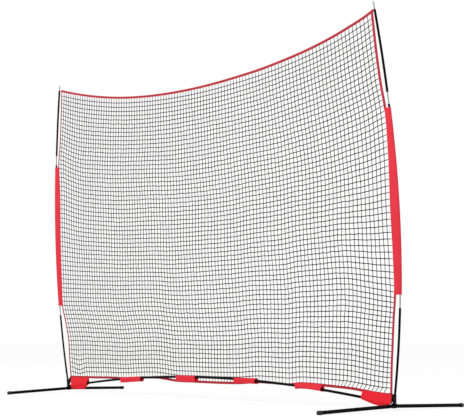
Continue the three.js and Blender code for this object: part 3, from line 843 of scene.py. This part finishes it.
tape_thickness = 0.0007
tape_pucker, tape_pucker_share = 0.036, 0.1
tape_points = 560
edge_half_gap, side_half_gap = 0.0027, 0.0021
edge_wander, edge_ripple = 0.0004, 0.0003
sewn_inset, sewn_nip, sewn_nip_width = 0.003, 0.22, 0.0022
stitch_pitch, stitch_length, stitch_radius = 0.0045, 0.0031, 0.00035
stitch_lift = 0.0002
net_middle = (0.0, 1.4)
sleeve_overlap, side_foot_gap, side_corner_gap = 0.012, 0.002, 0.004


def woven(paint, place, deep, bright, across_pitch, along_pitch, relief):
    """Woven polyester: threads that pass over and under, and a colour that varies softly."""
    axes = paint.node("SeparateXYZ", None, {"Vector": place})
    wave_x, wave_z = [
        paint.node("Math", {"operation": "SINE"}, {0: axes[axis] * (math.pi / pitch)})["Value"]
        for axis, pitch in (("X", across_pitch), ("Z", along_pitch))
    ]
    threads = wave_x * wave_z * 0.5 + 0.5
    patches = paint.noise(place, 7.0, 4.0)
    slubs = paint.noise(place, 420.0, 2.0)
    return {
        "Base Color": paint.blend(patches * 0.55 + slubs * 0.25 + threads * 0.2, deep, bright),
        "Roughness": 0.62 + slubs * 0.2,
        "Specular IOR Level": 0.3,
        "Sheen Weight": 0.15,
        "Sheen Roughness": 0.45,
        "Sheen Tint": linear(*bright),
        "Normal": paint.bump(0.4, relief, threads * 0.7 + slubs * 0.5),
    }


def cloth(rows, thickness, wrap=False):
    """Both faces and the edges of a sheet of cloth that runs through rows of points."""
    along = np.gradient(rows, axis=0)
    if wrap:
        across = np.roll(rows, -1, axis=1) - np.roll(rows, 1, axis=1)
    else:
        across = np.gradient(rows, axis=1)
    normal = unit(np.cross(across, along))
    front, back = rows + normal * thickness / 2, rows - normal * thickness / 2
    if wrap:
        return lofted(np.concatenate([front, back[::-1]]), closed=True)
    points, faces = lofted(np.concatenate([front, back[:, ::-1]], axis=1))
    width = rows.shape[1]
    start = np.arange(width - 1)
    end_faces = np.stack([start, start + 1, 2 * width - 2 - start, 2 * width - 1 - start], axis=-1)
    last_row = 2 * width * (len(rows) - 1)
    return points, np.concatenate([faces, end_faces, end_faces + last_row])


def run_along(line):
    """How far along a line each of its points lies."""
    return np.concatenate([[0], np.cumsum(np.linalg.norm(np.diff(line, axis=0), axis=1))])


def points_at(line, places):
    """The points that lie at those distances along a line."""
    run = run_along(line)
    return np.stack([np.interp(places, run, column) for column in line.T], axis=-1)


def stitches(line):
    """A row of stitches along a line of points: short lumps of thread that stand on the cloth."""
    places = np.arange(stitch_pitch / 2, run_along(line)[-1], stitch_pitch)
    ahead, behind = [points_at(line, places + way * stitch_pitch / 4) for way in (1, -1)]
    along = unit(ahead - behind)
    outward = np.broadcast_to(plane_forward, along.shape)
    return lumps(points_at(line, places), along * stitch_length / 2,
                 np.cross(along, outward) * stitch_radius, outward * stitch_radius)


def sewn_tape(name, node, line, width, half_gap):
    """A tape folded over an edge of the net, which is given by its (x, height) points."""
    along = unit(np.gradient(line, axis=0))
    inward = np.stack([-along[:, 1], along[:, 0]], axis=-1)
    inward *= np.sign(np.sum(inward * (net_middle - line), axis=1))[:, None]
    turn = np.linspace(-math.pi / 2, math.pi / 2, 7)
    flat = np.linspace(width, half_gap, 6)[:-1]
    reach = np.concatenate([flat, half_gap * (1 - np.cos(turn)), flat[::-1]])
    depth = np.concatenate([-np.ones(5), np.sin(turn), np.ones(5)]) * half_gap
    sewn = width - sewn_inset
    nip = 1 - sewn_nip * np.exp(-((reach - sewn) / sewn_nip_width) ** 2)
    run = run_along(line)
    pucker = 1 + tape_pucker_share * np.sin(2 * math.pi * run / tape_pucker)
    wander = edge_wander * np.sin(run * 61.0) + edge_ripple * np.sin(run * 143.0)
    reach = reach + wander[:, None] * (reach > half_gap)
    x, height = line[:, :1] + inward[:, :1] * reach, line[:, 1:] + inward[:, 1:] * reach
    shells = [cloth(placed(x, height, depth * nip * pucker[:, None]), tape_thickness)]
    seam_x, seam_height = (line + inward * sewn).T
    lift = (1 - sewn_nip) * half_gap + tape_thickness / 2 + stitch_lift
    for face in (-1, 1):
        shells.append(stitches(placed(seam_x, seam_height, face * lift * pucker)) + (1,))
    tape = assemble(name, node, shells, [red_tape, red_thread])


red_tape = surface("red_binding_tape", woven, (176, 30, 46), (214, 52, 68), 0.0011, 0.0006, 0.0003)
red_thread = surface("red_thread", woven, (150, 24, 38), (190, 44, 58), 0.0005, 0.0005, 0.0001)

top_x = np.linspace(-corner_reach["left"], corner_reach["right"], tape_points)
sewn_tape("top_tape", "top_binding", np.stack([top_x, net_top(top_x)], axis=-1), top_tape,
          edge_half_gap)
bottom_x = np.linspace(-foot_reach["left"], foot_reach["right"], tape_points)
bottom_line = np.stack([bottom_x, net_bottom(bottom_x) - bottom_tape / 2], axis=-1)
sewn_tape("bottom_tape", "bottom_binding", bottom_line, bottom_tape, edge_half_gap)
for side_name, side in both_sides.items():
    foot_end = net_bottom(side * foot_reach[side_name]) - bottom_tape / 2 + side_foot_gap
    corner_end = net_top(corner_reach[side_name]) - side_corner_gap
    for part, low, high in (
        ("lower", foot_end, sleeve_low + sleeve_overlap),
        ("upper", sleeve_high - sleeve_overlap, corner_end),
    ):
        levels = np.linspace(low, high, 120)
        edge_line = np.stack([side * net_edge(side_name, levels), levels], axis=-1)
        sewn_tape(f"side_tape_{part}_{side_name}", f"side_binding_{part}_{side_name}", edge_line,
                  side_tape[side_name][part], side_half_gap)

# ---- Side sleeves ----
# Red polyester cloth folded round the post and sewn to itself along the edge of the net. The net
# pulls it tight, which draws short creases from the seam, and both ends have a turned hem.

cloth_thickness = 0.0008
cloth_weave = (0.0005, 0.0005, 0.0002)
sleeve_post_radius, sleeve_seam_radius, sleeve_seam_inset = 0.0105, 0.0029, 0.0135
sleeve_hem, sleeve_hem_growth = 0.020, (1.02, 1.07, 1.0)
sleeve_levels = np.linspace(sleeve_low, sleeve_high, 170)
sleeve_seed = {"left": 6, "right": 5}
sleeve_creases, crease_slope, crease_spread = 34, 0.35, (0.006, 0.016)
crease_pull, crease_reach, sleeve_slack = (0.0005, 0.0017), (0.5, 1.0), 0.0007
sleeve_stitch_insets, sleeve_stitch_slope, sleeve_sides = (0.004, 0.009), 0.13, 64


def pulled_round(circles, count, start):
    """The outline of cloth pulled tight round several (first, second, radius) circles."""
    angles = np.arange(60) * 2 * math.pi / 60
    points = np.concatenate([
        np.stack([first + radius * np.cos(angles), second + radius * np.sin(angles)], axis=-1)
        for first, second, radius in circles
    ])
    outline = points[convex_hull_2d(points.tolist())]
    outline = np.roll(outline, -int(np.argmax(outline @ np.array(start))), axis=0)
    closed = np.concatenate([outline, outline[:1]])
    return points_at(closed, np.arange(count) * run_along(closed)[-1] / count)


def sections_along(stations, circles_at, count, start):
    """Outlines round the circles at each station: the station and both places of every point."""
    outlines = np.array([pulled_round(circles_at(station), count, start) for station in stations])
    return np.broadcast_to(stations[:, None], outlines.shape[:2]), outlines[..., 0], outlines[..., 1]


def hemmed(rows, ends, growth):
    """A sleeve of cloth through closed rows, and a second, larger layer over the rows at its ends."""
    layers = [rows]
    for end in ends:
        middle = rows[end].mean(axis=(0, 1))
        layers.append(middle + (rows[end] - middle) * growth)
    return [cloth(layer, cloth_thickness, wrap=True) for layer in layers]


red_cloth = surface("red_cloth", woven, (226, 34, 52), (250, 60, 78), *cloth_weave)

for side_name, side in both_sides.items():
    def seam_x(level):
        return side * (net_edge(side_name, level) - sleeve_seam_inset)

    def sleeve_circles(level):
        """The post and the seam, as the sleeve goes round them."""
        post = post_x[side_name](level)
        return [(post, 0.0, sleeve_post_radius), (seam_x(level), 0.0, sleeve_seam_radius)]

    chance = np.random.default_rng(sleeve_seed[side_name])
    height, x, depth = sections_along(sleeve_levels, sleeve_circles, sleeve_sides, (-side, 0.0))
    posts, seams = post_x[side_name](sleeve_levels)[:, None], seam_x(sleeve_levels)[:, None]
    share = ramp((x - seams) / (posts - seams))
    face = np.sign(depth)
    creases = np.zeros(share.shape)
    for crease in range(sleeve_creases):
        middle = chance.uniform(sleeve_low, sleeve_high)
        slope = chance.normal(0, crease_slope)
        spread = chance.uniform(*crease_spread)
        pull = chance.uniform(*crease_pull)
        reach = chance.uniform(*crease_reach)
        which = 1 if crease % 2 else -1
        along = height - middle - slope * (x - seams) * side
        fade = ramp(1 - share / reach) ** 0.8 * ramp(share * 12)
        creases += which * (face == which) * pull * np.exp(-(along / spread) ** 2) * fade
    slack = sleeve_slack * np.sin(23.0 * height + 1.7) * np.sin(math.pi * share) * face
    rows = placed(x, height, depth + creases + slack)
    hem_rows = round(sleeve_hem / (sleeve_levels[1] - sleeve_levels[0])) + 1
    shells = hemmed(rows, (slice(hem_rows), slice(-hem_rows, None)), sleeve_hem_growth)
    for inset in sleeve_stitch_insets:
        line_x = seams[:, 0] + side * (inset - sleeve_seam_radius)
        lift = sleeve_seam_radius + cloth_thickness / 2 + stitch_lift + sleeve_stitch_slope * inset
        for face in (-1, 1):
            shells.append(stitches(placed(line_x, sleeve_levels, face * lift)) + (1,))
    sleeve = assemble(f"cloth_sleeve_{side_name}", f"side_sleeve_{side_name}",
                      shells, [red_cloth, red_thread])

# ---- Bottom loops ----
# Four short tunnels of red cloth, sewn to the front of the bottom tape, that the ground pole
# passes through. Each hangs slack from whichever is higher, the pole or the tape.

loop_ends = [(-1.067, -0.775), (-0.345, -0.096), (0.330, 0.572), (0.962, 1.232)]
loop_rise = [0.0, 0.0, 0.008, 0.0]
loop_fall, loop_flare, loop_end_slant = 0.042, 0.006, 0.020
loop_pole_radius, loop_crown_radius, loop_foot_radius = 0.0112, 0.006, 0.005
loop_seam_radius, loop_seam_depth = 0.0030, -0.0066
loop_above_tape, loop_below_tape, loop_crown_back, foot_back = 0.006, 0.004, 0.003, 0.001
loop_sway, loop_ripple, loop_sides, cloth_foot = 0.0009, 0.0007, 48, (0.4, -1.0)
first_rows, last_rows = slice(4), slice(-4, None)
loop_hem_growth = (1.0, 1.06, 1.03)
# The loop cloth is the red cloth painted brighter: painted light that makes up for the dimmer light
# that falls low down near the floor.
loop_cloth_painted_brighter = surface("red_loop_cloth_painted_brighter", woven, (243, 30, 48), (255, 58, 76), *cloth_weave)

for i, (loop_start, loop_end) in enumerate(loop_ends):
    loop_length = loop_end - loop_start

    def loop_circles(x):
        """The pole, the crown of the loop, the seam on the tape and the slack foot of the loop."""
        share = (x - loop_start) / loop_length
        flare = loop_flare * share ** 4
        pole, tape = pole_height(x), net_bottom(x)
        top = max(pole + loop_pole_radius + loop_rise[i] * share, tape + loop_above_tape)
        low = min(pole - loop_pole_radius, tape - loop_below_tape, top - loop_fall)
        return [
            (pole_depth, pole, loop_pole_radius),
            (pole_depth + loop_crown_back, top - loop_crown_radius, loop_crown_radius),
            (loop_seam_depth, tape, loop_seam_radius),
            (pole_depth + foot_back, low + loop_foot_radius + flare, loop_foot_radius + flare),
        ]

    stations = np.linspace(loop_start, loop_end, 44)
    x, depth, height = sections_along(stations, loop_circles, loop_sides, cloth_foot)
    sway = loop_sway * np.sin(37.0 * x + 2.0 * i) * np.sin(140.0 * height)
    sway += loop_ripple * np.sin(83.0 * x + 1.1 * i + 60.0 * height)
    away = ramp((pole_height(x) - 0.004 - height) / 0.01)
    front = ramp((pole_depth - depth) / 0.008)
    slant = loop_end_slant * front * ((x - loop_start) / loop_length) ** 6
    rows = placed(x - slant, height, depth + sway * away)
    shells = hemmed(rows, (first_rows, last_rows), loop_hem_growth)
    loop = assemble(f"pole_loop_{i + 1}", f"bottom_loop_{i + 1}", shells, [loop_cloth_painted_brighter])

# ---- Corner pockets ----
# A bag of red cloth at each bottom corner, sewn along the bottom tape, with the end of the ground
# pole and its socket inside. The pole goes in at the open inner end.

pocket_shape = {
    "left": {"inner": 1.533, "outer": 1.794, "top": (0.134, 0.133), "mouth_low": 0.076,
             "fall": 0.35, "front_reach": -0.022, "tuck": 0.0},
    "right": {"inner": 1.584, "outer": 1.834, "top": (0.131, 0.107), "mouth_low": 0.067,
              "fall": 0.70, "front_reach": 0.008, "tuck": 0.042},
}
pocket_low, pocket_foot_radius, pocket_pole_radius = 0.030, 0.006, 0.0143
heel_share, heel_rise, heel_narrowing = 0.1, 0.012, 0.0012
tuck_top, tuck_height = 0.068, 0.035
pocket_bulge, pocket_sway, pocket_ripple, pocket_sides = 0.002, 0.0013, 0.0008, 60
pocket_hem_growth = (1.0, 1.05, 1.02)
# The pocket cloth is the red cloth painted brighter, as painted light that makes up for the dimmer
# light near the floor, and a little deeper in hue as the cloth's own colour.
pocket_cloth_painted_brighter = surface("red_pocket_cloth_painted_brighter", woven, (246, 10, 28), (255, 36, 54), *cloth_weave)

for side_name, side in both_sides.items():
    shape = pocket_shape[side_name]
    inner, length = shape["inner"], shape["outer"] - shape["inner"]

    def pocket_circles(reach):
        """The pole's end, the seam on the tape and the foot of the pocket."""
        share = (reach - inner) / length
        top = shape["top"][0] + (shape["top"][1] - shape["top"][0]) * share
        fall = min(share / shape["fall"], 1.0)
        low = shape["mouth_low"] + (pocket_low - shape["mouth_low"]) * math.sin(fall * math.pi / 2)
        heel = max(share - 1 + heel_share, 0.0) / heel_share
        low += heel_rise * (1 - math.sqrt(max(1 - heel * heel, 0.0)))
        return [
            (pole_depth, pole_height(side * reach), pocket_pole_radius - heel_narrowing * heel),
            (loop_seam_depth, top - loop_seam_radius, loop_seam_radius),
            (pole_depth + foot_back, low + pocket_foot_radius, pocket_foot_radius),
        ]

    stations = np.linspace(inner, shape["outer"], 46)
    reach, depth, height = sections_along(stations, pocket_circles, pocket_sides, cloth_foot)
    x, share = side * reach, (reach - inner) / length
    bulge = pocket_bulge * np.sin(math.pi * share)
    sway = pocket_sway * np.sin(31.0 * x + 90.0 * height) * np.sin(math.pi * share)
    sway += pocket_ripple * np.sin(71.0 * x - 50.0 * height + 1.0)
    front = ramp((pole_depth - depth) / 0.006)
    swing = ramp((loop_seam_depth - depth) / 0.020) * share ** 5
    tuck = ramp((tuck_top - height) / tuck_height) ** 2 * share ** 5
    x = x + side * (shape["front_reach"] * swing - shape["tuck"] * tuck)
    rows = placed(x, height, depth - front * (bulge + sway))
    pocket = assemble(f"cloth_pocket_{side_name}", f"corner_pocket_{side_name}",
                      hemmed(rows, (first_rows,), pocket_hem_growth), [pocket_cloth_painted_brighter])

# ---- Corner straps and top loops ----
# A black webbing strap ties each bottom corner of the net to the collar of its post. At the top a
# narrow red tape, folded double, goes round the bare rod and sits on the end of its cover tube.

webbing_thickness = 0.0016
strap_shape = {
    "left": {"width": 0.036, "post_level": 0.075, "corner_level": 0.124},
    "right": {"width": 0.050, "post_level": 0.0785, "corner_level": 0.088},
}
strap_clearance, strap_corner_radius, strap_corner_inset = 0.0012, 0.0042, 0.004
strap_sides, strap_bend, layer_step = 56, 1.1, 1.05
tie_width, tie_layers = 0.0105, 2
tie_clearance, tie_corner_radius, tie_corner_inset = 0.0009, 0.0036, 0.006
tie_above_net, tie_below_edge = 0.0040, 0.007
webbing = surface("black_webbing", woven, (4, 4, 5), (18, 18, 20), 0.0016, 0.0009, 0.0004)


def belt(name, node, material, post, corner, levels, width, thickness, layers=1):
    """A strap of one or more layers round a post, that comes together at a corner of the net."""
    (post_centre, post_radius), (corner_x, corner_radius) = post, corner
    post_level, corner_level = levels
    steps = np.linspace(-width / 2, width / 2, 7)[:, None]
    shells = []
    for layer in range(layers):
        out = layer * thickness * layer_step
        x, depth = pulled_round([
            (post_centre, 0.0, post_radius + out), (corner_x, 0.0, corner_radius + out),
        ], strap_sides, (math.copysign(1.0, post_centre), 0.0)).T
        share = ramp((x - post_centre) / (corner_x - post_centre))
        rows = placed(x, post_level + (corner_level - post_level) * share ** strap_bend + steps, depth)
        shells.append(cloth(rows, thickness, wrap=True))
    strap = assemble(name, node, shells, [material])


for side_name, side in both_sides.items():
    strap = strap_shape[side_name]
    belt(f"webbing_strap_{side_name}", f"corner_strap_{side_name}", webbing,
         (post_x[side_name](strap["post_level"]), collar_radius + strap_clearance),
         (side * (foot_reach[side_name] - strap_corner_inset), strap_corner_radius),
         (strap["post_level"], strap["corner_level"]), strap["width"], webbing_thickness)
    tip_level = net_high + tie_above_net - cover_worn[side_name]
    tie_x = side * (corner_reach[side_name] - tie_corner_inset)
    belt(f"top_tie_{side_name}", f"top_loop_{side_name}", red_tape,
         (post_x[side_name](tip_level), rod_radius + tie_clearance), (tie_x, tie_corner_radius),
         (tip_level, net_top(tie_x) - tie_below_edge), tie_width / tie_layers, tape_thickness,
         tie_layers)
